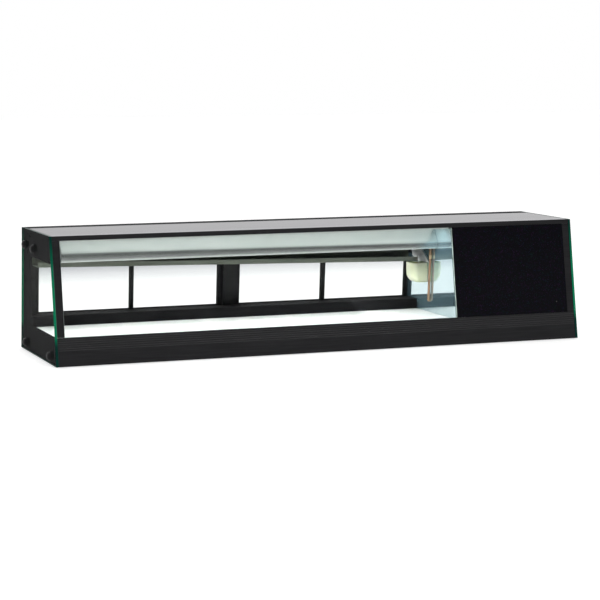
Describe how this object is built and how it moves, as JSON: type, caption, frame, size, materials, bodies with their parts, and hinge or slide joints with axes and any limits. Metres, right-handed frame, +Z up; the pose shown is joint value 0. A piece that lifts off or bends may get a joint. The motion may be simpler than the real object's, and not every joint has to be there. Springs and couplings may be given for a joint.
{
  "type": "refrigerated display case",
  "caption": "Countertop refrigerated display case with a leaning glass front, glass ends, rear sliding doors, loose deck plates and a cooling unit at its right end.",
  "frame": {"origin": "bottom centre of the whole case, on the plane of its feet", "axes": "+X along the length, to the customer's right and towards the cooling unit; +Y from the customer's side to the operator's side with the sliding doors; +Z up"},
  "size_m": [1.2666, 0.323, 0.277],
  "materials": {
    "black_aluminium": "black anodised, satin",
    "clear_glass": "clear float glass with green edges",
    "end_glass": "clear glass with a black printed border inside",
    "black_glass": "black enamelled panel, glossy with a fine fleck",
    "galvanised": "galvanised sheet",
    "foamed_liner": "foam core in a light liner",
    "polished_steel": "mirror polished stainless steel",
    "white_steel": "white powder coat, satin",
    "coil_aluminium": "plain fins",
    "satin_steel": "satin stainless sheet",
    "olive_tray": "aged anodised tray",
    "white_plastic": "white tube",
    "cup_plastic": "pale green translucent plastic",
    "copper": "bare drawn copper",
    "black_plastic": "fine moulded texture",
    "black_enamel": "black enamel",
    "rubber": "matt"
  },
  "bodies": {
    "case": {"base_front_panel": "black_aluminium", "base_plate": "galvanised", "ceiling_panel": "foamed_liner", "compressor": "black_enamel", "compressor_front_panel": "black_glass", "condenser_coil": "coil_aluminium", "control_panel": "black_aluminium", "drain_cup": "cup_plastic", "drain_guard": "white_plastic", "drip_tray": "olive_tray", "end_cap_left_1": "black_plastic", "end_cap_left_2": "black_plastic", "end_cap_left_3": "black_plastic", "end_cap_left_4": "black_plastic", "end_cap_right_1": "black_plastic", "end_cap_right_2": "black_plastic", "end_cap_right_3": "black_plastic", "end_cap_right_4": "black_plastic", "end_glass_left": "end_glass", "end_glass_right": "end_glass", "evaporator_coil": "coil_aluminium", "evaporator_cover": "satin_steel", "fan_motor": "black_enamel", "fan_shroud": "galvanised", "foot_1": "rubber", "foot_2": "rubber", "foot_3": "rubber", "foot_4": "rubber", "front_glass": "clear_glass", "front_post_left": "black_aluminium", "front_post_right": "black_aluminium", "insulated_base": "foamed_liner", "partition": "polished_steel", "partition_core": "foamed_liner", "power_inlet": "black_plastic", "rear_grille": "black_aluminium", "rear_header": "black_aluminium", "rear_mullion": "black_aluminium", "rear_post": "black_aluminium", "rear_sill": "black_aluminium", "rear_top_rail": "black_aluminium", "suction_pipe": "copper", "top_front_rail": "black_aluminium", "top_panel": "black_glass"},
    "door_1": {"door_1_frame": "black_aluminium", "door_1_glass": "clear_glass"},
    "door_2": {"door_2_frame": "black_aluminium", "door_2_glass": "clear_glass"},
    "door_3": {"door_3_frame": "black_aluminium", "door_3_glass": "clear_glass"},
    "door_4": {"door_4_frame": "black_aluminium", "door_4_glass": "clear_glass"},
    "deck_1": {"deck_plate_1": "white_steel"},
    "deck_2": {"deck_plate_2": "white_steel"},
    "deck_3": {"deck_plate_3": "white_steel"},
    "deck_4": {"deck_plate_4": "white_steel"},
    "deck_5": {"deck_plate_5": "white_steel"},
    "fan": {"fan_blade": "black_plastic"},
    "thermostat": {"thermostat_knob": "black_plastic"},
    "switch": {"power_switch": "black_plastic"}
  },
  "joints": [
    {"name": "door_1_slide", "type": "slide", "parent": "case", "child": "door_1", "axis": [1, 0, 0], "range_m": [0, 0.2153]},
    {"name": "door_2_slide", "type": "slide", "parent": "case", "child": "door_2", "axis": [-1, 0, 0], "range_m": [0, 0.2247]},
    {"name": "door_3_slide", "type": "slide", "parent": "case", "child": "door_3", "axis": [1, 0, 0], "range_m": [0, 0.2189]},
    {"name": "door_4_slide", "type": "slide", "parent": "case", "child": "door_4", "axis": [-1, 0, 0], "range_m": [0, 0.2176]},
    {"name": "deck_1_tip", "type": "hinge", "parent": "case", "child": "deck_1", "pos_m": [-0.52448, -0.14564, 0.0585], "axis": [1, 0, 0], "range_deg": [0, 20]},
    {"name": "deck_2_tip", "type": "hinge", "parent": "case", "child": "deck_2", "pos_m": [-0.33744, -0.14564, 0.0585], "axis": [1, 0, 0], "range_deg": [0, 20]},
    {"name": "deck_3_tip", "type": "hinge", "parent": "case", "child": "deck_3", "pos_m": [-0.1504, -0.14564, 0.0585], "axis": [1, 0, 0], "range_deg": [0, 20]},
    {"name": "deck_4_tip", "type": "hinge", "parent": "case", "child": "deck_4", "pos_m": [0.03664, -0.14564, 0.0585], "axis": [1, 0, 0], "range_deg": [0, 20]},
    {"name": "deck_5_tip", "type": "hinge", "parent": "case", "child": "deck_5", "pos_m": [0.22368, -0.14564, 0.0585], "axis": [1, 0, 0], "range_deg": [0, 8]},
    {"name": "fan_spin", "type": "hinge", "parent": "case", "child": "fan", "pos_m": [0.425, 0.0928, 0.082], "axis": [0, 1, 0], "continuous": true},
    {"name": "thermostat_turn", "type": "hinge", "parent": "case", "child": "thermostat", "pos_m": [0.557, 0.13266, 0.19622], "axis": [0, 0.9962, 0.0877], "range_deg": [-140, 140]},
    {"name": "switch_rock", "type": "hinge", "parent": "case", "child": "switch", "pos_m": [0.557, 0.13683, 0.12832], "axis": [1, 0, 0], "range_deg": [-6, 6]}
  ]
}
